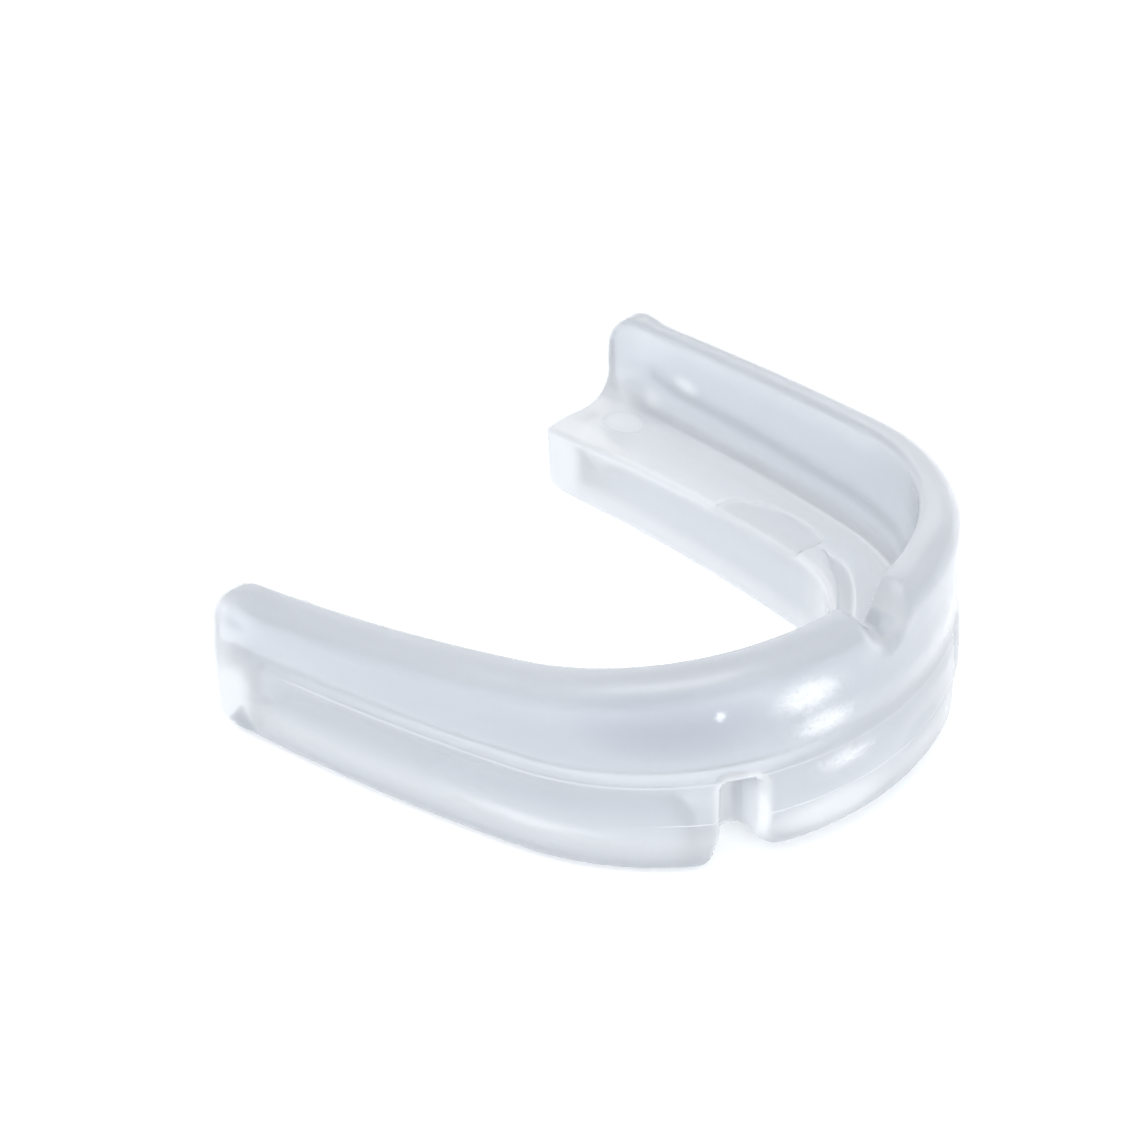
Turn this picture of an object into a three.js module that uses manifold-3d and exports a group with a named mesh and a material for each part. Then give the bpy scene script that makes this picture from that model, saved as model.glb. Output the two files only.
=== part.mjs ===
// Clear boil-and-bite mouthguard, moulded in one piece: an upright lip wall, a bite shelf for the
// upper teeth, and two lower flanges with a channel between them for the lower teeth.
// Units are millimetres and +Z is up. The lips face -Y, the arms run back towards +Y, and the part
// is symmetric in X. The origin is under the middle of its bounding box, on the plane it rests on.

import * as THREE from 'three';
import { mergeVertices } from 'three/addons/utils/BufferGeometryUtils.js';
import Module from 'manifold-3d';

const wasm = await Module();
wasm.setup();

const deg = THREE.MathUtils.degToRad;

// Plan outline of the outer face: arcs from the middle of the front to the end of one arm
const PLAN_ARCS = [
  { radius: 30.2, turn: deg(26.6), steps: 10 }, // front teeth
  { radius: 26.9, turn: deg(53.3), steps: 11 }, // corner of the jaw
  { radius: 196, turn: deg(10.4), steps: 8 }, // slightly bowed arm
];

// Heights at the front, and how much each falls per millimetre towards the back
const TOP = { front: 24.0, fall: 0.2, flatten: 0.001, crown: 23.5, blend: 1.2 }; // rim of the lip wall
const CREASE = { front: 11.3, fall: 0.03 }; // groove round the outer face
const SHELF = { front: 10.2, fall: 0.05 }; // bite shelf at its inner edge
const PARTING_HEIGHT = 5.8; // widest line of the outer face

// Depths inwards from the plan outline
const GROOVE = { depth: 0.9, shoulder: 1.1, fade: 5 }; // the crease, which dies away before an arm's end
const WALL_FACE = 0.25; // outer face of the lip wall
const WALL_BACK = { front: 4.2, end: 3.4 }; // inner face of the lip wall
const SHELF_START = 5.8; // where the fillet from the wall reaches the shelf
const SHELF_EDGE = 11.3;
const INNER_FACE = { front: 12.4, end: 13.1 }; // tongue side of the inner flange

// Lower flanges and the channel between them
const OUTER_RIM = { start: 0.75, end: 3.3 };
const INNER_RIM_START = 9.6;
const FRONT_RIM = { lift: 1.5, blend: 1.5 }; // the front section stands off the table
const RIM_EDGE = { low: 0.15, high: 0.6 }; // small rounding of the outer rim
const BITE_THICKNESS = 3.2; // between the shelf and the roof of the channel
const SHELF_DIP = 0.6;
const WALL_FILLET = 1.9; // height of the fillet where the lip wall meets the shelf
const RIM_RADIUS = 1.1;
const SHELF_RADIUS = 1.1;

// Arm ends, notches and webs
const END_TOP_RADIUS = 4.2;
const END_BOTTOM_RADIUS = 2.8;
const END_INNER_RADIUS = 2.9;
const END_STEPS = 5;
const END_WEB = 4.6; // solid closing each arm of the channel
const CANINE_NOTCH = { at: 16.9, width: 3.8, flare: 1.9, foot: 3.6, depth: 4.3, height: 9.8, web: 3.2 };
const FRENUM_NOTCH = { root: 0.4, half: 4.6, depth: 3.7 }; // dip in the middle of the lip wall's rim
const POCKET_ROOF = { corner: 0.5, taper: 1.5, drop: 1.3 }; // slope of the channel's sides
const POCKET_STEP = 3.4;
const OVERCUT = 2; // cutters run this far past the surface

const PLAN_LENGTH = PLAN_ARCS.reduce((sum, arc) => sum + arc.radius * arc.turn, 0);

// Point and outward direction of the plan outline, a signed distance along it from the middle
function planAt(distance) {
  const side = Math.sign(distance) || 1;
  let left = Math.abs(distance);
  let heading = 0;
  const point = new THREE.Vector2(0, 0);
  PLAN_ARCS.forEach((arc, index) => {
    const last = index === PLAN_ARCS.length - 1;
    const length = last ? left : Math.min(left, arc.radius * arc.turn);
    const next = heading + length / arc.radius;
    point.x += arc.radius * (Math.sin(next) - Math.sin(heading));
    point.y += arc.radius * (Math.cos(heading) - Math.cos(next));
    heading = next;
    left -= length;
  });
  const outward = new THREE.Vector2(side * Math.sin(heading), -Math.cos(heading));
  return { point: new THREE.Vector2(side * point.x, point.y), outward };
}

const DEPTH = planAt(PLAN_LENGTH).point.y;

// Level of a feature at a distance behind the front
const levelAt = (level, y) => level.front - level.fall * y;

// Value that changes from the front to the arm ends
const taper = (range, y) => mix(range.front, range.end, (y / DEPTH) ** 2);

// Straight blend of two values, and a smooth 0 to 1 step
const mix = THREE.MathUtils.lerp;
const smooth = (from, to, value) => THREE.MathUtils.smoothstep(value, from, to);

// Rim of the lip wall: level over the front teeth, falling to the arm ends, notched in the middle
function rimHeight(station, y) {
  const falling = levelAt(TOP, y) + TOP.flatten * y * y;
  const ceiling = TOP.crown + TOP.blend;
  const crowned = -TOP.blend * Math.log(Math.exp(-falling / TOP.blend) + Math.exp(-ceiling / TOP.blend));
  const notch = 1 - smooth(FRENUM_NOTCH.root, FRENUM_NOTCH.half, Math.abs(station));
  return crowned - FRENUM_NOTCH.depth * notch;
}

// Place a section point: depth inwards from the outline and height
function place(station, depth, height) {
  const { point, outward } = planAt(station);
  return [point.x - outward.x * depth, point.y - outward.y * depth - DEPTH / 2, height];
}

// Rise of a rounded corner at a distance from the end it rounds
function cornerRise(distance, radius) {
  const inside = THREE.MathUtils.clamp(radius - distance, 0, radius);
  return radius - Math.sqrt(radius * radius - inside * inside);
}

// Stations along the plan outline, closer together where the arm ends are rounded
function bodyStations() {
  const half = [];
  let start = 0;
  PLAN_ARCS.forEach((arc, index) => {
    const last = index === PLAN_ARCS.length - 1;
    const length = arc.radius * arc.turn - (last ? END_TOP_RADIUS : 0);
    for (let i = 1; i <= arc.steps; i += 1) half.push(start + (length * i) / arc.steps);
    start += length;
  });
  for (let i = 1; i <= END_STEPS; i += 1) {
    half.push(start + END_TOP_RADIUS * Math.sin((i / END_STEPS) * (Math.PI / 2)));
  }
  return [...half.map((s) => -s).reverse(), 0, ...half];
}

// Closed section of the solid body as [depth, height] pairs
function bodySection(station) {
  const y = planAt(station).point.y;
  const toEnd = PLAN_LENGTH - Math.abs(station);
  const fullTop = rimHeight(station, y);
  const wallBack = taper(WALL_BACK, y);
  const innerFace = taper(INNER_FACE, y);
  const top = fullTop - cornerRise(toEnd, END_TOP_RADIUS);
  const foot = cornerRise(toEnd, END_BOTTOM_RADIUS);
  const fromNotch = Math.abs(station) - CANINE_NOTCH.at;
  const inArm = smooth(-FRONT_RIM.blend, FRONT_RIM.blend, fromNotch);
  const outerRim = foot + FRONT_RIM.lift * (1 - inArm);
  const innerRim = cornerRise(toEnd, END_INNER_RADIUS);
  // Features of the outer face keep their order where the rounded end squeezes it
  const face = (height) => mix(foot, top, height / fullTop);
  const crease = face(levelAt(CREASE, y));
  const parting = face(PARTING_HEIGHT);
  const groove = GROOVE.depth * smooth(0, GROOVE.fade, toEnd);
  const wall = (fraction) => mix(crease, top - RIM_RADIUS, fraction);
  const shelf = levelAt(SHELF, y);
  const fillet = Math.min(WALL_FILLET, (top - RIM_RADIUS - shelf) * 0.8);
  return [
    [OUTER_RIM.end, outerRim],
    [OUTER_RIM.start, outerRim],
    [0.45, outerRim + RIM_EDGE.low],
    [0.15, outerRim + RIM_EDGE.high],
    [0.02, mix(outerRim, parting, 0.6)],
    [0, parting],
    [0.05, mix(parting, crease, 0.5)],
    [groove * 0.6, crease - GROOVE.shoulder],
    [groove, crease],
    [groove * 0.7 + 0.05, wall(0.1)],
    [WALL_FACE - 0.15, wall(0.25)],
    [WALL_FACE - 0.1, wall(0.6)],
    [WALL_FACE + 0.05, wall(1)],
    [WALL_FACE + 0.4, top - RIM_RADIUS * 0.3],
    [WALL_FACE + 1.2, top],
    [wallBack - 1.0, top],
    [wallBack - 0.25, top - RIM_RADIUS * 0.3],
    [wallBack, top - RIM_RADIUS],
    [wallBack + 0.2, shelf + fillet],
    [wallBack + 0.75, shelf + fillet * 0.45],
    [SHELF_START - 0.6, shelf + fillet * 0.05],
    [SHELF_START + 0.8, shelf - SHELF_DIP],
    [SHELF_EDGE - 1.6, shelf - SHELF_DIP * 0.4],
    [SHELF_EDGE, shelf],
    [innerFace - SHELF_RADIUS * 0.3, shelf - SHELF_RADIUS * 0.3],
    [innerFace - 0.1, shelf - SHELF_RADIUS],
    [innerFace, innerRim + RIM_RADIUS],
    [innerFace - RIM_RADIUS * 0.25, innerRim + RIM_RADIUS * 0.25],
    [innerFace - 0.9, innerRim],
    [INNER_RIM_START, innerRim],
  ];
}

// Closed solid through a loop of [depth, height] pairs at each station
function sweep(stations, sectionAt) {
  const rings = stations.map((s) => sectionAt(s).map(([depth, height]) => place(s, depth, height)));
  const count = rings[0].length;
  const positions = rings.flat(2);
  const triangles = [];
  for (let ring = 0; ring < rings.length - 1; ring += 1) {
    for (let i = 0; i < count; i += 1) {
      const a = ring * count + i;
      const b = ring * count + ((i + 1) % count);
      triangles.push(a, b, b + count, a, b + count, a + count);
    }
  }
  const addCap = (ring, outwards) => {
    const outline = sectionAt(stations.at(ring)).map(([depth, height]) => new THREE.Vector2(depth, height));
    const first = ring === 0 ? 0 : (rings.length - 1) * count;
    for (const [a, b, c] of THREE.ShapeUtils.triangulateShape(outline, [])) {
      if (THREE.ShapeUtils.isClockWise(outline) === outwards) triangles.push(first + a, first + b, first + c);
      else triangles.push(first + a, first + c, first + b);
    }
  };
  addCap(0, true);
  addCap(-1, false);
  return toSolid(positions, triangles);
}

// Manifold solid from bare positions and triangles, turned outwards if it is inside out
function toSolid(positions, triangles) {
  const vertProperties = new Float32Array(positions);
  const triVerts = new Uint32Array(triangles);
  if (signedVolume(vertProperties, triVerts) < 0) {
    for (let i = 0; i < triVerts.length; i += 3) {
      [triVerts[i + 1], triVerts[i + 2]] = [triVerts[i + 2], triVerts[i + 1]];
    }
  }
  return new wasm.Manifold(new wasm.Mesh({ numProp: 3, vertProperties, triVerts }));
}

function signedVolume(positions, triangles) {
  const [a, b, c] = [new THREE.Vector3(), new THREE.Vector3(), new THREE.Vector3()];
  let sum = 0;
  for (let i = 0; i < triangles.length; i += 3) {
    a.fromArray(positions, triangles[i] * 3);
    b.fromArray(positions, triangles[i + 1] * 3);
    c.fromArray(positions, triangles[i + 2] * 3);
    sum += a.dot(b.cross(c));
  }
  return sum / 6;
}

// Manifold solid from a three.js geometry
function geometryToSolid(geometry) {
  geometry.deleteAttribute('normal');
  geometry.deleteAttribute('uv');
  const merged = mergeVertices(geometry, 1e-4);
  return toSolid([...merged.attributes.position.array], [...merged.index.array]);
}

// One pocket of the tooth channel in the underside, between two stations
function channelPocket(from, to) {
  const steps = Math.round((to - from) / POCKET_STEP);
  const stations = Array.from({ length: steps + 1 }, (_, i) => from + ((to - from) * i) / steps);
  return sweep(stations, (station) => {
    const roof = levelAt(SHELF, planAt(station).point.y) - BITE_THICKNESS;
    return [
      [INNER_RIM_START + 0.15, -OVERCUT],
      [INNER_RIM_START - POCKET_ROOF.corner, roof - POCKET_ROOF.drop],
      [INNER_RIM_START - POCKET_ROOF.taper, roof],
      [OUTER_RIM.end + POCKET_ROOF.taper, roof],
      [OUTER_RIM.end + POCKET_ROOF.corner, roof - POCKET_ROOF.drop],
      [OUTER_RIM.end - 0.15, -OVERCUT],
    ];
  });
}

// Outline of the upright canine groove: straight sides, round at its back, wider where it opens
function notchOutline() {
  const half = CANINE_NOTCH.width / 2;
  const chamfer = 0.7;
  const outline = new THREE.Shape();
  outline.moveTo(-half - chamfer, -OVERCUT);
  outline.lineTo(half + chamfer, -OVERCUT);
  outline.lineTo(half, chamfer);
  outline.absarc(0, CANINE_NOTCH.depth - half, half, 0, Math.PI);
  outline.lineTo(-half, chamfer);
  return outline;
}

// Front view of the groove's flared foot: its sides curve out to meet the rim
function footOutline() {
  const half = CANINE_NOTCH.width / 2;
  const { flare } = CANINE_NOTCH;
  const outline = new THREE.Shape();
  outline.moveTo(-half - flare, -OVERCUT);
  outline.lineTo(half + flare, -OVERCUT);
  outline.absarc(half + flare, flare, flare, -Math.PI / 2, -Math.PI, true);
  outline.absarc(-half - flare, flare, flare, 0, -Math.PI / 2, true);
  return outline;
}

// Groove in the outer face of the lower flange, between an incisor lobe and a canine lobe
function canineNotch(station) {
  const plain = { curveSegments: 8, bevelEnabled: false };
  const height = CANINE_NOTCH.height + OVERCUT;
  const groove = new THREE.ExtrudeGeometry(notchOutline(), { ...plain, depth: height });
  groove.translate(0, 0, -OVERCUT);
  const reach = CANINE_NOTCH.foot + OVERCUT;
  const foot = new THREE.ExtrudeGeometry(footOutline(), { ...plain, depth: reach });
  foot.rotateX(Math.PI / 2);
  foot.translate(0, CANINE_NOTCH.foot, 0);
  const { point, outward } = planAt(station);
  const angle = Math.atan2(-outward.y, -outward.x) - Math.PI / 2;
  for (const geometry of [groove, foot]) {
    geometry.rotateZ(angle);
    geometry.translate(point.x, point.y - DEPTH / 2, 0);
  }
  return geometryToSolid(groove).add(geometryToSolid(foot));
}

function toGeometry(solid) {
  const mesh = solid.getMesh();
  const geometry = new THREE.BufferGeometry();
  geometry.setAttribute('position', new THREE.BufferAttribute(new Float32Array(mesh.vertProperties), 3));
  geometry.setIndex(new THREE.BufferAttribute(new Uint32Array(mesh.triVerts), 1));
  geometry.computeVertexNormals();
  return geometry;
}

function guardSolid() {
  const webEdge = CANINE_NOTCH.web;
  const armStart = CANINE_NOTCH.at + webEdge;
  const armEnd = PLAN_LENGTH - END_WEB;
  const cutters = [
    channelPocket(-CANINE_NOTCH.at + webEdge, CANINE_NOTCH.at - webEdge),
    channelPocket(armStart, armEnd),
    channelPocket(-armEnd, -armStart),
    canineNotch(CANINE_NOTCH.at),
    canineNotch(-CANINE_NOTCH.at),
  ];
  return cutters.reduce((solid, cutter) => solid.subtract(cutter), sweep(bodyStations(), bodySection));
}

const clearEva = new THREE.MeshStandardMaterial({ color: 0xdce3ec, roughness: 0.12, metalness: 0 });

const guard = new THREE.Mesh(toGeometry(guardSolid()), clearEva);
guard.name = 'guard_body';

const mouthguard = new THREE.Group();
mouthguard.add(guard);

export default mouthguard;
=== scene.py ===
"""Clear boil-and-bite mouthguard, moulded in one piece of glossy EVA.

The body is one implicit surface, worked out in three coordinates that follow the U-shaped outline:
station along the outline, depth inwards from it, and height. Its rounded edges and fillets are
rounded joins and cuts of plain faces. A dual mesh with every point on the surface is made from it.

The shape is the same left and right. Marks on one side only are placed by side, which is the station
with the sign of x, and by height.
"""

import math

import bpy
import numpy as np
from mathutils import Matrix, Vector


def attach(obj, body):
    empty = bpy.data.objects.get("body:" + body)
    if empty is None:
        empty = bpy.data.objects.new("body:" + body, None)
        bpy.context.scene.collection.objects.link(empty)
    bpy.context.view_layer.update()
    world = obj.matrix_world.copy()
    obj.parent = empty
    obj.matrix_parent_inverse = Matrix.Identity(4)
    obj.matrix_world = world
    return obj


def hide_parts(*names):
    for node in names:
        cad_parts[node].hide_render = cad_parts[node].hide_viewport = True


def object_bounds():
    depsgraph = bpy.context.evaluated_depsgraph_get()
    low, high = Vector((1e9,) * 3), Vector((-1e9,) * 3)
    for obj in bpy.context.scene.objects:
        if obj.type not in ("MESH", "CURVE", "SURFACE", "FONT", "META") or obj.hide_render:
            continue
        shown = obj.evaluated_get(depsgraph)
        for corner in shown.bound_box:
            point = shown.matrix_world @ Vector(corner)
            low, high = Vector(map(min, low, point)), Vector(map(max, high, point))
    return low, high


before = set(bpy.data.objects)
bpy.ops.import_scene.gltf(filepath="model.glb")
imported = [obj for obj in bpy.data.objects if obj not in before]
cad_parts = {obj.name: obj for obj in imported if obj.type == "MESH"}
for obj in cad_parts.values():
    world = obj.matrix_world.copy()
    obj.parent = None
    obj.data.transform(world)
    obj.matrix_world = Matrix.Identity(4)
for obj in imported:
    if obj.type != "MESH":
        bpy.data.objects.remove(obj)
cad_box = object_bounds()

MM = 0.001

# ---------------------------------------------------------------- driving dimensions, in millimetres
# A pair such as (-0.5, 0.3) says where a smooth step starts and where it ends, if nothing else is said.

PLAN_ARCS = ((30.2, 26.6), (26.9, 53.3), (196.0, 10.4))  # radius, and turn in degrees, front to end

RIM = {"front": 24.0, "fall": 0.2, "flatten": 0.001, "crown": 23.42, "blend": 1.2}
CREASE = {"front": 11.3, "fall": 0.03}
SHELF = {"front": 10.2, "fall": 0.05}
PARTING = 5.8  # height of the parting line

WALL_BACK = (4.2, 3.4)  # depth of the lip wall's inner face, at the front and at an arm's end
INNER_FACE = (12.4, 13.1)  # depth of the inner flange's face, at the front and at an arm's end
WALL_DRAFT = 0.3
WALL_FACE = {"by": 0.15, "step": (-1.0, 1.0)}  # the lip wall's outer face, behind the flange's
FACE_DRAFT = 0.3

GROOVE = {"depth": 0.45, "below": 1.3, "above": 2.4, "fade": (3.0, 9.0)}
SHELF_DIP = {"depth": 0.6, "from": 6.4, "to": 11.3}
FILLET = (1.6, 2.2)  # between the lip wall and the shelf, along the guard and at an arm's end

RIM_OUTER, RIM_INNER = 2.9, 0.9  # edge radii of the lip wall's rim
FRENUM_EDGE = 2.4  # outer edge radius in the frenum notch
SHELF_EDGE = 0.6
FOOT_EDGE = 0.7
FLANGE_TO_RIM = (-3.0, 3.0)  # height over the shelf's edge where the flange's edges turn into the rim's

END_STEP = (-7.0, -1.5)  # station, from the end, where the arm's edges turn into its end's
END_TOP, END_BOTTOM = 4.2, 1.8  # corner radii of an arm's end, seen from the side
END_EDGE = 1.0
END_OUTER_EDGE = 1.5
END_LEAN = {"by": 0.5, "height": 12.0}  # the end's foot falls short of the part above it

FRONT_LIFT = {"by": 1.5, "step": (-1.5, 1.5)}  # the front section's outer rim stands off the table
ARM_LIFT = {"by": 0.4, "step": (-0.8, 0.8)}  # and so does each arm's, in front of its end web
CHANNEL = {
    "outer": 3.3,
    "inner": 9.6,
    "roof": 3.2,
    "draft": 0.16,
    "corner": 2.9,
    "lip": 0.9,
    "taper": 0.6,
}
END_WEB = 4.6
NOTCH = {"at": 17.5, "half": 1.4, "depth": 4.3, "height": 9.8, "web": 3.2, "edge": 1.0}
NOTCH_FOOT = {"edge": 1.4, "height": (1.4, 4.0)}  # its edge is rounder by this much at the foot
NOTCH_FLARE = {"slope": 0.4, "depth": 3.0}  # the notch's front wall leans away from the other one
FRENUM = {"root": 0.0, "half": 4.3, "depth": 3.6}

RELIEF = {"depth": 0.25, "step": (-0.5, 0.3)}  # of the shelf's pocket and band
POCKET = {"middle": 44.4, "half": 6.4, "edge": 7.5, "flare": 0.053, "lowest": 43.5, "corner": 1.2}
BAND = {"front": 10.8, "back": 9.7, "half": 0.9, "from": 19.0, "to": 37.0, "taper": (31.0, 37.5)}

GRID = 0.38  # spacing of the mesh

# ---------------------------------------------------------------- where the finish changes, and where light and shade are painted
# A mark is an ellipse: its middle, its half sizes, and how far outside it the soft edge starts and ends.
# Its places are side and height. The ejector mark's are station and depth and the notch highlight's
# are station and height, so that there is one on each side.

EJECTOR_MARK = {"at": (68.7, 7.4), "size": (2.4, 1.9), "edge": (-0.5, 0.1)}
GATE_MARK = {"at": (-19.2, 18.1), "size": (0.45, 0.45), "edge": (-0.1, 0.2)}
# Painted highlights on the front left, whitened where a lamp's reflection falls, with a rubbed speckle
# in their bump.
RUBBED_HIGHLIGHT_PATCHES = (
    {"at": (-10.3, 18.2), "size": (3.9, 2.0), "edge": (-1.6, 1.6)},
    {"at": (-8.2, 14.2), "size": (3.6, 1.7), "edge": (-1.6, 1.6)},
    {"at": (-5.8, 9.1), "size": (3.6, 1.2), "edge": (-1.6, 1.6)},
)
HIGHLIGHT_FALL = 1.5  # power that draws a painted highlight patch in towards its middle
# a painted highlight streak low on the near arm's outer flange
HIGHLIGHT_STREAK = {"at": (-38.0, 4.4), "size": (11.0, 0.8), "edge": (-0.8, 0.8)}
# painted shade: a darker patch on the near lip wall
SHADED_PATCH = {"at": (-24.0, 17.0), "size": (12.0, 4.5), "edge": (-4.0, 2.5)}
# painted shade: dark spots standing in for inner parts seen through the body
SHADE_SPOTS = (
    {"at": (-71.0, 12.7), "size": (1.5, 0.9), "edge": (-0.8, 0.7)},
    {"at": (5.8, 6.2), "size": (3.4, 1.6), "edge": (-0.8, 0.7)},
)
# painted light: a pale sheen low on the front, where the bright floor shows through
PAINTED_FRONT_SHEEN = {"at": (-7.0, 3.9), "size": (8.5, 2.2), "edge": (-1.6, 1.2)}
# painted highlight on the front wall of each canine notch
NOTCH_HIGHLIGHT = {"at": (15.2, 5.6), "size": (1.2, 3.4), "edge": (-1.0, 0.8), "depth": (3.0, 4.1)}
CLOUDY_SPOTS = (
    {"at": (63.6, 12.0), "size": (1.3, 0.8), "edge": (-0.6, 0.6)},
    {"at": (68.2, 8.6), "size": (1.1, 0.8), "edge": (-0.6, 0.6)},
)
SPOT_DEPTH = ((2.6, 3.4), (4.4, 5.4))  # where a cloudy spot starts and stops

OUTER_SKIN = (0.8, 1.5)  # depth
INNER_SKIN = (11.6, 12.3)  # depth
CHANNEL_SKIN = (0.15, 0.6)  # distance from the channel's own surface
NOTCH_SKIN = (0.4, 1.5)  # distance from the canine notch's own surface
INSIDE_WALL = {"depth": (2.0, 3.0), "over_shelf": (-1.6, -0.2)}
SHELF_TOP = {"depth": (4.5, 5.8), "over_shelf": (-1.6, -0.6)}
RELIEF_TONE = (-0.5, 0.2)  # distance outside the pocket or the band
LIP_WALL = (1.0, 4.0)  # height over the shelf
RIM_BAND = (-3.4, -0.6)  # height over the rim
FRENUM_HAZE = {"station": (2.0, 5.0), "height": (18.0, 20.0)}
# painted shade at the root of the frenum notch
FRENUM_ROOT = {
    "at": 0.8,
    "half": (0.6, 1.4),
    "height": ((19.1, 19.5), (20.5, 21.2)),
    "depth": ((0.8, 1.5), (3.7, 4.3)),
}
# painted light: paler towards the foot, as if lit through from the floor, with a painted highlight band
# outside
LOW_FLANGE_LIGHT = {"height": (1.0, 7.0), "outside": 0.8, "at": 3.6, "spread": 1.7}
# painted shade in a band just under the crease, along the arms
SHADE_UNDER_CREASE = {"below": 1.2, "spread": 1.8, "from": (20.0, 26.0), "to": (-10.0, -4.0)}
# the end webs: hazier, as thick EVA is, and painted white for the bright glints at the arms' ends
WEB_HAZE_AND_HIGHLIGHT = {"along": (-2.8, 0.8), "height": (6.0, 10.5), "last": (-1.4, -0.3), "less": 0.6}
END_CORNER = {"at": -4.3, "height": 3.6, "slope": 1.5, "edge": (-0.5, 0.5)}  # painted shade at each arm's foot, for the inner flange's end seen through the wall
# each arm's outer tip: hazier, and painted paler for its bright end
TIP_HAZE_AND_HIGHLIGHT = (-5.5, -2.0)  # station, from the end

PARTING_LINE = {"half": 0.16, "fade": (22, 30)}  # half width, and the side where the line fades out
CREASE_LINE = {"below": 0.9, "half": 0.22, "fade": (62, 70), "strength": 0.7}
OUTLINE_HALF = 0.2  # half width of the lines round the shelf's marks
FLAT_TOP = (0.5, 0.8)  # upward share of the normal, where those lines are drawn
LINE_CLEAR, LINE_HAZE = 0.8, 0.7

STREAK_SCALE = (0.07, 0.5, 0.7)  # along side, depth and height: the streaks run along the guard
# painted glints: how much the speckle whitens the highlight patches
SPECKLE_GLINT = 1.3
BUMP = {"swell": 0.05, "streaks": 0.035, "lines": 0.03, "speckle": 0.22}  # heights
# tints: the EVA's own, a darker one for the lip wall's tone and painted shade, and a clear one also used
# for painted highlights
EVA_TINT = (0.84, 0.866, 0.914)
EVA_DARK_AND_SHADE = (0.605, 0.64, 0.71)
EVA_CLEAR_AND_HIGHLIGHT = (0.955, 0.975, 1.0)
ROUGHNESS = (0.28, 0.5)  # glossy, and matt in the tooth channel
TRANSMISSION = (0.7, 0.1)  # without haze, and with full haze


# ---------------------------------------------------------------- outline


def outward(heading):
    return np.array([math.sin(heading), -math.cos(heading)])


def outline_arcs():
    """(centre, radius, first heading, first station) of each arc, and the whole length and depth."""
    arcs = []
    point, heading, station = np.zeros(2), 0.0, 0.0
    for radius, turn in PLAN_ARCS:
        centre = point - radius * outward(heading)
        arcs.append((centre, radius, heading, station))
        heading += math.radians(turn)
        station += radius * math.radians(turn)
        point = centre + radius * outward(heading)
    return arcs, station, point[1]


ARCS, LENGTH, DEPTH = outline_arcs()


def along_outline(x, y):
    """Station and depth of each point, and how far behind the front its place on the outline is."""
    side, back = np.abs(x), y + DEPTH / 2
    station = depth = behind = None
    for centre, radius, first, start in ARCS:
        dx, dy = side - centre[0], back - centre[1]
        heading = np.arctan2(dx, -dy)
        here = (
            start + radius * (heading - first),
            radius - np.hypot(dx, dy),
            centre[1] - radius * np.cos(heading),
        )
        if station is None:
            station, depth, behind = here
            continue
        past = (heading > first) & (station > start)
        station = np.where(past, here[0], station)
        depth = np.where(past, here[1], depth)
        behind = np.where(past, here[2], behind)
    return station, depth, behind


# ---------------------------------------------------------------- rounded solids


def smooth(low, high, value):
    t = np.clip((value - low) / (high - low), 0, 1)
    return t * t * (3 - 2 * t)


def window(rise, fall, value):
    """1 between the rise and the fall, and 0 outside them."""
    return smooth(*rise, value) * (1 - smooth(*fall, value))


def mix(a, b, t):
    return a + (b - a) * t


def highest(*shares):
    return np.max(shares, axis=0)


def both(a, b, radius):
    """What is inside a and b, with the edge between them rounded to the radius."""
    reach = np.hypot(np.maximum(a + radius, 0), np.maximum(b + radius, 0))
    return np.minimum(np.maximum(a, b), -radius) + reach


def either(a, b, radius):
    """What is inside a or b, with a fillet of the radius between them."""
    return -both(-a, -b, radius)


# ---------------------------------------------------------------- the guard's faces


def falling(line, behind):
    """Height of the crease, the shelf's edge or the rim's slope, which falls from front to back."""
    return line["front"] - line["fall"] * behind


def rim_height(station, behind):
    sloping = falling(RIM, behind) + RIM["flatten"] * behind**2
    ceiling = RIM["crown"] + RIM["blend"]
    crowned = -RIM["blend"] * np.logaddexp(-sloping / RIM["blend"], -ceiling / RIM["blend"])
    return crowned - FRENUM["depth"] * (1 - smooth(FRENUM["root"], FRENUM["half"], station))


def outer_face(station, behind, z):
    """Depth of the outer face: nearly upright below, a groove at the crease, the lip wall above."""
    crease = falling(CREASE, behind)
    fade = smooth(*GROOVE["fade"], LENGTH - station)
    width = np.where(z < crease, GROOVE["below"], GROOVE["above"])
    groove = GROOVE["depth"] * fade * np.exp(-(((z - crease) / width) ** 2))
    wall = WALL_FACE["by"] * smooth(*WALL_FACE["step"], z - crease)
    flange = FACE_DRAFT * (np.maximum(PARTING - z, 0) / PARTING) ** 2
    return groove + wall + flange


def channel(station, depth, z, roof):
    """The tooth channel's three pockets, negative inside."""
    middle = (CHANNEL["outer"] + CHANNEL["inner"]) / 2
    half = (CHANNEL["inner"] - CHANNEL["outer"]) / 2
    sides = np.abs(depth - middle) - (half - CHANNEL["draft"] * z)
    trough = both(sides, z - roof, CHANNEL["corner"])
    front = station - (NOTCH["at"] - NOTCH["web"])
    arm_from, arm_to = NOTCH["at"] + NOTCH["web"], LENGTH - END_WEB
    arm = np.abs(station - (arm_from + arm_to) / 2) - (arm_to - arm_from) / 2
    return both(trough, CHANNEL["taper"] * np.minimum(front, arm), CHANNEL["corner"])


def canine_notch(station, depth, z):
    """Upright groove in the outer flange, round at its back and flared to the front, negative inside."""
    flare = NOTCH_FLARE["slope"] * np.maximum(NOTCH_FLARE["depth"] - depth, 0)
    offset = station - NOTCH["at"]
    offset = np.minimum(offset + flare, np.maximum(offset, 0))
    across = offset * (1 - depth / PLAN_ARCS[1][0])
    inwards = np.maximum(depth - (NOTCH["depth"] - NOTCH["half"]), 0)
    sides = np.hypot(across, inwards) - NOTCH["half"]
    return both(sides, z - NOTCH["height"], NOTCH["half"] / 2)


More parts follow.
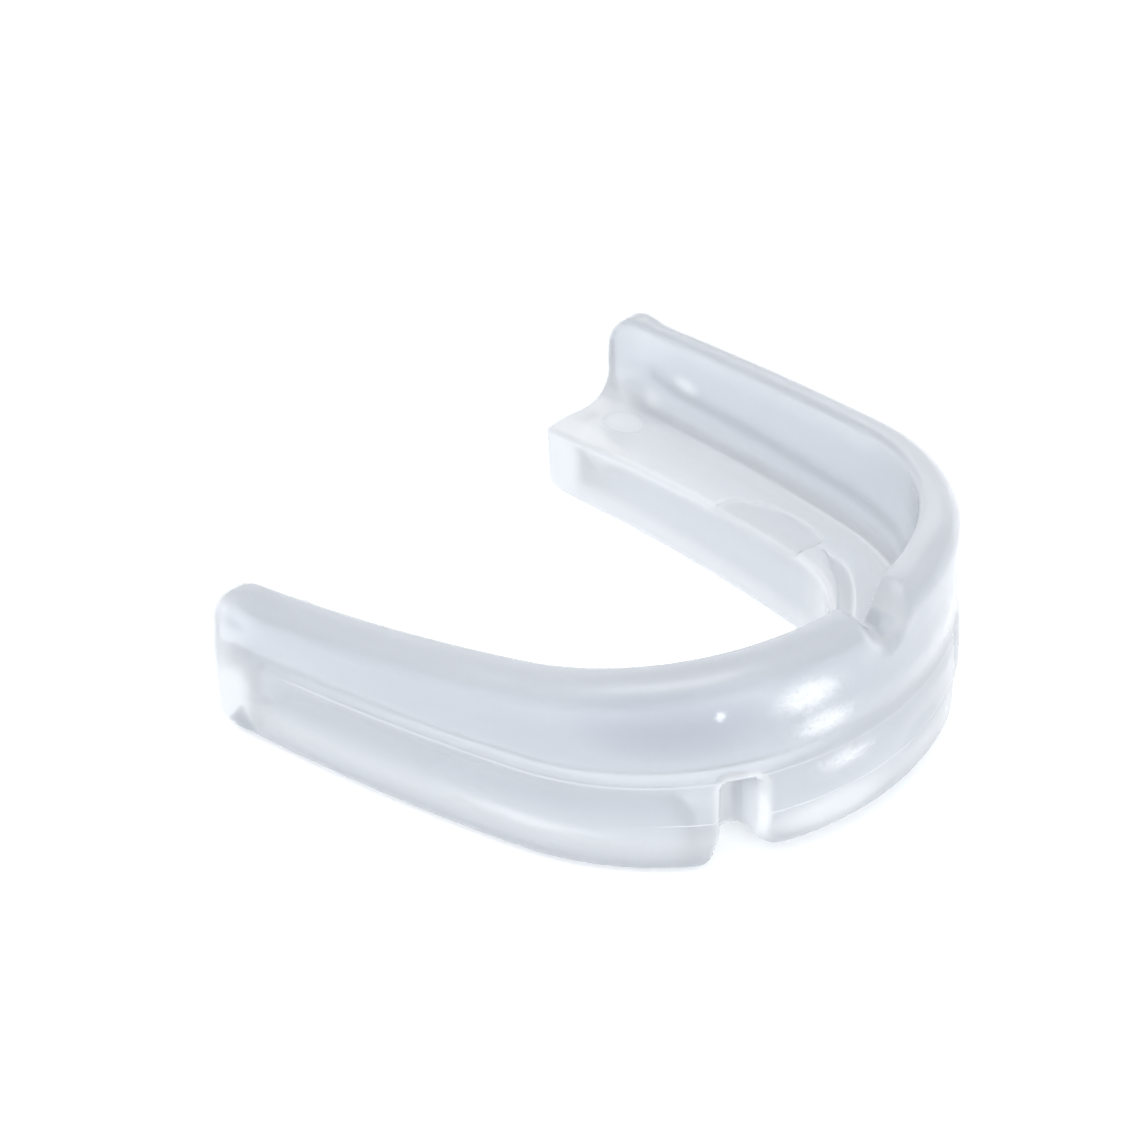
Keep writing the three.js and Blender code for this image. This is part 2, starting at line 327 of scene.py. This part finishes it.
def shelf_marks(station, depth):
    """How far outside the shelf's pocket, band and ejector mark each point is, seen from above."""
    edge = POCKET["edge"] + POCKET["flare"] * (station - POCKET["lowest"]) ** 2
    pocket = both(edge - depth, np.abs(station - POCKET["middle"]) - POCKET["half"], POCKET["corner"])
    back = smooth(BAND["from"], BAND["to"], station)
    half = BAND["half"] * (1 - smooth(*BAND["taper"], station))
    half = half - np.maximum(station - BAND["to"], 0)
    band = np.abs(depth - mix(BAND["front"], BAND["back"], back)) - half
    return pocket, band, ellipse(station, depth, EJECTOR_MARK)


def ellipse(u, v, mark):
    """Roughly how far outside the mark's ellipse each place is."""
    across = np.hypot((u - mark["at"][0]) / mark["size"][0], (v - mark["at"][1]) / mark["size"][1])
    return (across - 1) * min(mark["size"])


def patch(u, v, mark):
    """1 on the mark, falling to 0 over its soft edge."""
    return 1 - smooth(*mark["edge"], ellipse(u, v, mark))


def guard_field(points):
    """How far outside the guard each point is, roughly, in millimetres: negative inside."""
    x, y, z = points
    station, depth, behind = along_outline(x, y)
    share = (behind / DEPTH) ** 2
    shelf_edge = falling(SHELF, behind)
    shelf = shelf_edge - SHELF_DIP["depth"] * (1 - smooth(SHELF_DIP["from"], SHELF_DIP["to"], depth))
    pocket, band, _ = shelf_marks(station, depth)
    shelf = shelf - RELIEF["depth"] * (1 - smooth(*RELIEF["step"], np.minimum(pocket, band)))
    rim = rim_height(station, behind)

    wall_back = mix(*WALL_BACK, share) + WALL_DRAFT * np.clip((rim - z) / (rim - shelf), 0, 1)
    base = both(z - shelf, depth - mix(*INNER_FACE, share), SHELF_EDGE)
    at_end = smooth(*END_STEP, station - LENGTH)
    section = either(depth - wall_back, base, mix(*FILLET, at_end))
    outer = outer_face(station, behind, z) - depth

    in_front = 1 - smooth(*FRONT_LIFT["step"], station - NOTCH["at"])
    arm_lift = ARM_LIFT["by"] * (1 - smooth(*ARM_LIFT["step"], station - LENGTH + END_WEB))
    lift = mix(arm_lift, FRONT_LIFT["by"], in_front)
    foot = lift * (1 - smooth(CHANNEL["outer"], CHANNEL["inner"], depth))
    end = station - LENGTH + END_LEAN["by"] * (1 - smooth(0, END_LEAN["height"], z))
    side = both(both(z - rim, end, END_TOP), foot - z, END_BOTTOM)

    high = smooth(*FLANGE_TO_RIM, z - shelf_edge)
    rim_edge = mix(FRENUM_EDGE, RIM_OUTER, smooth(0, FRENUM["half"] / 2, station))
    outer_edge = mix(mix(FOOT_EDGE, rim_edge, high), END_OUTER_EDGE, at_end)
    inner_edge = mix(END_EDGE, RIM_INNER, high)
    body = both(both(side, outer, outer_edge), section, inner_edge)

    pockets = channel(station, depth, z, shelf_edge - CHANNEL["roof"])
    body = both(body, -pockets, CHANNEL["lip"])
    notch_edge = NOTCH["edge"] + NOTCH_FOOT["edge"] * (1 - smooth(*NOTCH_FOOT["height"], z))
    return both(body, -canine_notch(station, depth, z), notch_edge)


# ---------------------------------------------------------------- mesh


def field_slope(points, value):
    """The field's slope at each point, by small steps."""
    step = 0.02
    slope = np.empty_like(points)
    for axis in range(3):
        moved = points.copy()
        moved[axis] += step
        slope[axis] = (guard_field(moved) - value) / step
    return slope


def settle(points):
    """Moves each point onto the surface."""
    for _ in range(2):
        value = guard_field(points)
        slope = field_slope(points, value)
        points = points - slope * value / np.maximum((slope**2).sum(0), 0.05)
    return points


def crossings(values, axis):
    """Grid edges along the axis that cross the surface: first corner, crossing point, inside first."""
    first = np.moveaxis(np.moveaxis(values, axis, 0)[:-1], 0, axis)
    second = np.moveaxis(np.moveaxis(values, axis, 0)[1:], 0, axis)
    corner = np.argwhere((first < 0) != (second < 0))
    a, b = first[tuple(corner.T)], second[tuple(corner.T)]
    point = corner.astype(float)
    point[:, axis] += a / (a - b)
    return corner, point, a < 0


def dual_mesh(values):
    """One point in each grid cell that the surface crosses, and one face round each crossed edge."""
    cells = np.array(values.shape) - 1
    total = np.zeros((cells.prod(), 4), np.float32)
    faces = []
    for axis in range(3):
        corner, point, leaving = crossings(values, axis)
        u, v = np.eye(3, dtype=int)[(axis + 1) % 3], np.eye(3, dtype=int)[(axis + 2) % 3]
        ring = [corner, corner - u, corner - u - v, corner - v]
        ids = [np.ravel_multi_index(tuple(c.T), cells) for c in ring]
        for cell in ids:
            for k in range(3):
                total[:, k] += np.bincount(cell, point[:, k], len(total))
            total[:, 3] += np.bincount(cell, minlength=len(total))
        quad = np.stack(ids, 1)
        faces.append(np.where(leaving[:, None], quad, quad[:, ::-1]))
    used = np.flatnonzero(total[:, 3])
    number = np.full(len(total), -1)
    number[used] = np.arange(len(used))
    points = total[used, :3] / total[used, 3:]
    return points.T.astype(float), number[np.concatenate(faces)]


def relax(points, faces):
    """Moves each point to the middle of its neighbours, then back onto the surface."""
    count = points.shape[1]
    a = faces.ravel()
    b = np.roll(faces, -1, axis=1).ravel()
    ends, others = np.concatenate([a, b]), np.concatenate([b, a])
    weight = np.bincount(ends, minlength=count)
    middle = np.array([np.bincount(ends, row[others], count) / weight for row in points])
    return settle(mix(points, middle, 0.5))


def finish_and_painted_light_fields(points):
    """The finish at each point, painted highlights and painted shade included: matt, haze, clear and
    dark shares, and the places its marks need.
    """
    z = points[2]
    station, depth, behind = along_outline(points[0], points[1])
    side = np.where(points[0] < 0, -station, station)
    past_end = station - LENGTH
    shelf = falling(SHELF, behind)
    over_shelf = z - shelf
    outside = 1 - smooth(*OUTER_SKIN, depth)

    # the faces of the whole guard
    roof = shelf - CHANNEL["roof"]
    in_channel = 1 - smooth(*CHANNEL_SKIN, np.abs(channel(station, depth, z, roof)))
    inner = smooth(*INNER_SKIN, depth)
    inside_wall = smooth(*INSIDE_WALL["depth"], depth) * smooth(*INSIDE_WALL["over_shelf"], over_shelf)
    top = smooth(*SHELF_TOP["depth"], depth) * smooth(*SHELF_TOP["over_shelf"], over_shelf)
    lip_wall = smooth(*LIP_WALL, over_shelf)
    rim = smooth(*RIM_BAND, z - rim_height(station, behind))
    # painted light: paler towards the foot, as if lit through from the floor, with a painted highlight
    # band low on the outer face
    low_inside_light = 1 - smooth(*LOW_FLANGE_LIGHT["height"], z)
    low_outside_highlight = np.exp(-(((z - LOW_FLANGE_LIGHT["at"]) / LOW_FLANGE_LIGHT["spread"]) ** 2))
    low = mix(low_inside_light, LOW_FLANGE_LIGHT["outside"] * low_outside_highlight, outside)
    # painted shade in a band just under the crease on the outer face
    under_crease = np.exp(-(((over_shelf + SHADE_UNDER_CREASE["below"]) / SHADE_UNDER_CREASE["spread"]) ** 2))
    under_crease *= outside * smooth(*SHADE_UNDER_CREASE["from"], station)
    under_crease *= 1 - smooth(*SHADE_UNDER_CREASE["to"], past_end)

    # the shelf's pocket, band and ejector mark
    pocket, band, oval = shelf_marks(station, depth)
    relief = 1 - smooth(*RELIEF_TONE, np.minimum(pocket, band))
    ejector = top * (1 - smooth(*EJECTOR_MARK["edge"], oval))

    # the canine notches and the frenum notch
    # the canine notches' skin is painted paler, which lifts the shade inside them
    notch = 1 - smooth(*NOTCH_SKIN, np.abs(canine_notch(station, depth, z)))
    # painted highlight on each canine notch's front wall
    notch_highlight = patch(station, z, NOTCH_HIGHLIGHT) * (1 - smooth(*NOTCH_HIGHLIGHT["depth"], depth))
    # painted shade at the root of the frenum notch
    root = 1 - smooth(*FRENUM_ROOT["half"], np.abs(side - FRENUM_ROOT["at"]))
    root *= window(*FRENUM_ROOT["height"], z) * window(*FRENUM_ROOT["depth"], depth)
    frenum = (1 - smooth(*FRENUM_HAZE["station"], station)) * smooth(*FRENUM_HAZE["height"], z)
    frenum *= 1 - root

    # the arms' ends
    # painted shade spots on the outer face
    shade_spots = outside * sum(patch(side, z, mark) for mark in SHADE_SPOTS)
    # painted shade in a triangle at each arm's foot
    to_corner = END_CORNER["slope"] * np.abs(past_end - END_CORNER["at"])
    corner = outside * smooth(*END_CORNER["edge"], END_CORNER["height"] - z - to_corner)
    # the end webs: hazier, and painted white for the glints at the arms' ends
    web = smooth(*WEB_HAZE_AND_HIGHLIGHT["along"], past_end + END_WEB) * (1 - smooth(*WEB_HAZE_AND_HIGHLIGHT["height"], z))
    web *= (1 - corner) * (1 - WEB_HAZE_AND_HIGHLIGHT["less"] * smooth(*WEB_HAZE_AND_HIGHLIGHT["last"], past_end))
    # each arm's outer tip, hazier and painted paler for its bright end
    tip_haze_and_highlight = outside * smooth(*TIP_HAZE_AND_HIGHLIGHT, past_end) * (1 - shade_spots)

    # marks on one side only
    spots = sum(patch(side, z, mark) for mark in CLOUDY_SPOTS) * window(*SPOT_DEPTH, depth)
    # painted highlights on the front left, with a rubbed speckle in their bump
    rubbed_and_highlight = sum(patch(side, z, mark) ** HIGHLIGHT_FALL for mark in RUBBED_HIGHLIGHT_PATCHES)
    rubbed_and_highlight = outside * np.minimum(rubbed_and_highlight, 1)
    # painted light low on the front
    painted_sheen = outside * patch(side, z, PAINTED_FRONT_SHEEN)
    gate = outside * patch(side, z, GATE_MARK)
    # painted highlight streak on the near arm's flange
    highlight_streak = outside * patch(side, z, HIGHLIGHT_STREAK)
    # painted shade on the near lip wall
    shaded_patch = patch(side, z, SHADED_PATCH)

    finishes_and_painted_light = (  # where it is, how hazy, how clear; painted highlights are among them
        (in_channel, 0, 1),
        (inner, 0.35, 0.5),
        (inside_wall, 0.38, 0),
        (top, mix(0.6, 0.45, relief), 1),
        (ejector, 0.8, 0),
        (lip_wall, 0.3, 0),
        (rim, 0.4, 0.3),
        (outside, 0.27, 0),
        (low, mix(0.6, 0.4, outside), 0.9),
        (notch, 0.5, 1),
        (notch_highlight, 1, 1),
        (frenum, 0.4, 0.7),
        (web, 0.68, 0.85),
        (tip_haze_and_highlight, 0.45, 0.6),
        (spots, 0.7, 1),
        (rubbed_and_highlight, 0.85, 1),
        (painted_sheen, 0.6, 1),
        (gate, 0.8, 1),
        (highlight_streak, 0.5, 1),
    )
    haze_and_painted_light = highest(*(where * amount for where, amount, _ in finishes_and_painted_light))
    clear_and_painted_light = highest(*(where * amount for where, _, amount in finishes_and_painted_light))
    shades = (  # where it is, how dark; all but the first are painted shade
        (lip_wall, 0.375),
        (under_crease, 0.375),
        (lip_wall * shaded_patch, 1),
        (corner, 1),
        (shade_spots, 0.7),
        (root, 1),
    )
    dark = highest(*(where * amount for where, amount in shades))
    return (
        ("matt", "FLOAT", in_channel),
        ("haze_and_painted_light", "FLOAT", haze_and_painted_light),
        ("clear_and_painted_light", "FLOAT", clear_and_painted_light),
        ("dark", "FLOAT", dark),
        ("rubbed_and_highlight", "FLOAT", rubbed_and_highlight),
        ("over_crease", "FLOAT", z - falling(CREASE, behind)),
        ("place", "FLOAT_VECTOR", np.array([side, depth, z])),
        ("marks", "FLOAT_VECTOR", np.array([pocket, band, oval])),
    )


def guard_mesh():
    low = np.array(cad_box[0]) / MM - 2 * GRID
    high = np.array(cad_box[1]) / MM + 2 * GRID
    axes = [np.arange(a, b + GRID, GRID, dtype=np.float32) for a, b in zip(low, high)]
    values = guard_field(np.meshgrid(*axes, indexing="ij", copy=False))
    points, faces = dual_mesh(values)
    points = settle(points * GRID + low[:, None])
    for _ in range(3):
        points = relax(points, faces)
    slope = field_slope(points, guard_field(points))
    normals = slope / np.sqrt((slope**2).sum(0))
    mesh = bpy.data.meshes.new("clear_mouthguard")
    mesh.from_pydata((points.T * MM).tolist(), [], faces.tolist())
    mesh.polygons.foreach_set("use_smooth", [True] * len(mesh.polygons))
    mesh.normals_split_custom_set_from_vertices(normals.T.tolist())
    for name, kind, numbers in finish_and_painted_light_fields(points):
        field = mesh.attributes.new(name, kind, "POINT")
        field.data.foreach_set("value" if kind == "FLOAT" else "vector", numbers.T.ravel())
    mesh.update()
    return mesh


# ---------------------------------------------------------------- material


class Nodes:
    """Short names for the maths in a material's nodes."""

    def __init__(self, material):
        self.nodes, self.links = material.node_tree.nodes, material.node_tree.links

    def feed(self, socket, value):
        if isinstance(value, (int, float)):
            socket.default_value = value
        else:
            self.links.new(value, socket)

    def maths(self, operation, *values):
        node = self.nodes.new("ShaderNodeMath")
        node.operation = operation
        for socket, value in zip(node.inputs, values):
            self.feed(socket, value)
        return node.outputs["Value"]

    def product(self, first, *others):
        for other in others:
            first = self.maths("MULTIPLY", first, other)
        return first

    def total(self, first, *others):
        for other in others:
            first = self.maths("ADD", first, other)
        return first

    def graded(self, value, start, end, low, high):
        """Runs smoothly from low to high as the value runs from start to end."""
        node = self.nodes.new("ShaderNodeMapRange")
        node.interpolation_type = "SMOOTHSTEP"
        names = ("Value", "From Min", "From Max", "To Min", "To Max")
        for name, number in zip(names, (value, start, end, low, high)):
            self.feed(node.inputs[name], number)
        return node.outputs["Result"]

    def attribute(self, name, output="Fac"):
        node = self.nodes.new("ShaderNodeAttribute")
        node.attribute_name = name
        return node.outputs[output]

    def split(self, vector):
        node = self.nodes.new("ShaderNodeSeparateXYZ")
        self.links.new(vector, node.inputs["Vector"])
        return [node.outputs[axis] for axis in "XYZ"]

    def scaled(self, vector, scale):
        node = self.nodes.new("ShaderNodeVectorMath")
        node.operation = "MULTIPLY"
        node.inputs[1].default_value = scale
        self.links.new(vector, node.inputs[0])
        return node.outputs["Vector"]

    def noise(self, vector, scale, detail):
        node = self.nodes.new("ShaderNodeTexNoise")
        node.inputs["Scale"].default_value = scale
        node.inputs["Detail"].default_value = detail
        self.links.new(vector, node.inputs["Vector"])
        return node.outputs["Fac"]

    def blend(self, share, first, second):
        node = self.nodes.new("ShaderNodeMix")
        node.data_type = "RGBA"
        self.links.new(share, node.inputs[0])
        for socket, colour in zip((node.inputs[6], node.inputs[7]), (first, second)):
            if isinstance(colour, tuple):
                socket.default_value = (*colour, 1)
            else:
                self.links.new(colour, socket)
        return node.outputs[2]

    def line(self, distance, half_width):
        """1 where the distance is 0, falling to 0 at the half width."""
        return self.graded(self.maths("ABSOLUTE", distance), 0, half_width, 1, 0)


def clear_eva():
    """Clear, slightly blue EVA: glossy skin over a faint haze, and matt in the tooth channel. Its tint
    and haze also carry painted highlights and painted shade.
    """
    material = bpy.data.materials.new("clear_eva")
    material.use_nodes = True
    shader = material.node_tree.nodes["Principled BSDF"]
    shader.inputs["IOR"].default_value = 1.48
    shader.inputs["Coat Weight"].default_value = 1.0
    shader.inputs["Coat Roughness"].default_value = 0.14
    shader.inputs["Coat IOR"].default_value = 1.5

    n = Nodes(material)
    place = n.attribute("place", "Vector")
    side, depth, height = n.split(place)
    outside = n.graded(depth, *OUTER_SKIN, 1, 0)
    facing = n.nodes.new("ShaderNodeNewGeometry").outputs["Normal"]
    on_top = n.graded(n.split(facing)[2], *FLAT_TOP, 0, 1)

    across = n.maths("ABSOLUTE", side)
    parting = n.line(n.maths("SUBTRACT", height, PARTING), PARTING_LINE["half"])
    parting = n.product(parting, outside, n.graded(across, *PARTING_LINE["fade"], 1, 0))
    under_crease = n.line(n.total(n.attribute("over_crease"), CREASE_LINE["below"]), CREASE_LINE["half"])
    under_crease = n.product(under_crease, outside, n.graded(across, *CREASE_LINE["fade"], 1, 0))
    pocket, band, oval = (n.line(mark, OUTLINE_HALF) for mark in n.split(n.attribute("marks", "Vector")))
    outlined = n.maths("MAXIMUM", n.maths("MAXIMUM", pocket, band), oval)
    lines = n.total(
        parting,
        n.product(outlined, on_top),
        n.product(under_crease, CREASE_LINE["strength"]),
    )

    streaks = n.noise(n.scaled(place, STREAK_SCALE), scale=1.0, detail=2)
    swell = n.noise(place, scale=0.17, detail=2)
    # a rubbed grain in the bump, and painted glints in the haze, on the painted highlight patches
    grain = n.maths("SUBTRACT", n.noise(place, scale=2.2, detail=2), 0.5)
    speckle = n.product(grain, n.attribute("rubbed_and_highlight"))
    height_mm = n.total(
        n.product(swell, BUMP["swell"]),
        n.product(streaks, BUMP["streaks"]),
        n.product(lines, BUMP["lines"]),
        n.product(speckle, BUMP["speckle"]),
    )
    bump = n.nodes.new("ShaderNodeBump")
    bump.inputs["Strength"].default_value = 1.0
    bump.inputs["Distance"].default_value = MM
    n.links.new(height_mm, bump.inputs["Height"])
    n.links.new(bump.outputs["Normal"], shader.inputs["Normal"])
    n.links.new(bump.outputs["Normal"], shader.inputs["Coat Normal"])

    # the dark, clear and haze shares carry painted shade and painted highlights as well as the EVA's own
    # tone
    tint = n.blend(n.attribute("dark"), EVA_TINT, EVA_DARK_AND_SHADE)
    clear_and_painted_light = n.maths("MAXIMUM", n.attribute("clear_and_painted_light"), n.product(lines, LINE_CLEAR))
    haze_and_painted_light = n.maths("MAXIMUM", n.attribute("haze_and_painted_light"), n.product(lines, LINE_HAZE))
    haze_and_painted_light = n.total(haze_and_painted_light, n.product(speckle, SPECKLE_GLINT))
    n.links.new(n.blend(clear_and_painted_light, tint, EVA_CLEAR_AND_HIGHLIGHT), shader.inputs["Base Color"])
    n.links.new(n.graded(n.attribute("matt"), 0, 1, *ROUGHNESS), shader.inputs["Roughness"])
    n.links.new(n.graded(haze_and_painted_light, 0, 1, *TRANSMISSION), shader.inputs["Transmission Weight"])
    return material


# ---------------------------------------------------------------- floor, light and camera


def floor_white():
    """White acrylic, lit a little from below like a light table."""
    material = bpy.data.materials.new("floor_white")
    material.use_nodes = True
    shader = material.node_tree.nodes["Principled BSDF"]
    shader.inputs["Base Color"].default_value = (0.93, 0.94, 0.95, 1)
    shader.inputs["Roughness"].default_value = 0.6
    shader.inputs["Emission Color"].default_value = (0.97, 0.985, 1.0, 1)
    shader.inputs["Emission Strength"].default_value = 0.33
    return material


def make_floor():
    half, gap = 1.5, 0.05 * MM  # the gap keeps the floor off the guard's rims
    mesh = bpy.data.meshes.new("floor")
    corners = [(-half, -half, 0), (half, -half, 0), (half, half, 0), (-half, half, 0)]
    mesh.from_pydata(corners, [], [(0, 1, 2, 3)])
    floor = bpy.data.objects.new("floor", mesh)
    floor.location.z = -gap
    mesh.materials.append(floor_white())
    bpy.context.scene.collection.objects.link(floor)


def direction(azimuth, elevation):
    """Unit vector from the object towards a place that a view from azimuth and elevation has."""
    a, e = math.radians(azimuth), math.radians(elevation)
    return Vector((math.sin(a) * math.cos(e), -math.cos(a) * math.cos(e), math.sin(e)))


def make_softbox(name, azimuth, elevation, distance, size, watts):
    data = bpy.data.lights.new(name, "AREA")
    data.shape = "RECTANGLE"
    data.size, data.size_y = size
    data.energy = watts
    lamp = bpy.data.objects.new(name, data)
    lamp.location = direction(azimuth, elevation) * distance
    lamp.rotation_mode = "QUATERNION"
    lamp.rotation_quaternion = (-lamp.location).to_track_quat("-Z", "Y")
    bpy.context.scene.collection.objects.link(lamp)


def make_world():
    world = bpy.data.worlds.new("studio")
    world.use_nodes = True
    background = world.node_tree.nodes["Background"]
    background.inputs["Color"].default_value = (0.96, 0.98, 1.0, 1)
    background.inputs["Strength"].default_value = 0.91
    bpy.context.scene.world = world


def make_camera():
    """A long lens, looking down at the left front corner."""
    azimuth, elevation, distance = -49.83, 36.66, 922.8
    target = Vector((7.09, 16.93, 2.33)) * MM
    data = bpy.data.cameras.new("camera")
    data.sensor_width = 36
    data.lens = 305
    camera = bpy.data.objects.new("camera", data)
    camera.location = target + direction(azimuth, elevation) * distance * MM
    camera.rotation_mode = "QUATERNION"
    camera.rotation_quaternion = (-direction(azimuth, elevation)).to_track_quat("-Z", "Y")
    bpy.context.scene.collection.objects.link(camera)
    bpy.context.scene.camera = camera


make_camera()
make_world()
make_floor()
make_softbox("key", azimuth=-60, elevation=60, distance=0.8, size=(0.6, 0.4), watts=1.1)
make_softbox("back", azimuth=130, elevation=38, distance=0.8, size=(0.8, 0.5), watts=0.6)

guard = bpy.data.objects.new("clear_mouthguard", guard_mesh())
guard.data.materials.append(clear_eva())
bpy.context.scene.collection.objects.link(guard)
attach(guard, "root")
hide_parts("guard_body")

bpy.context.scene.view_settings.view_transform = "Standard"
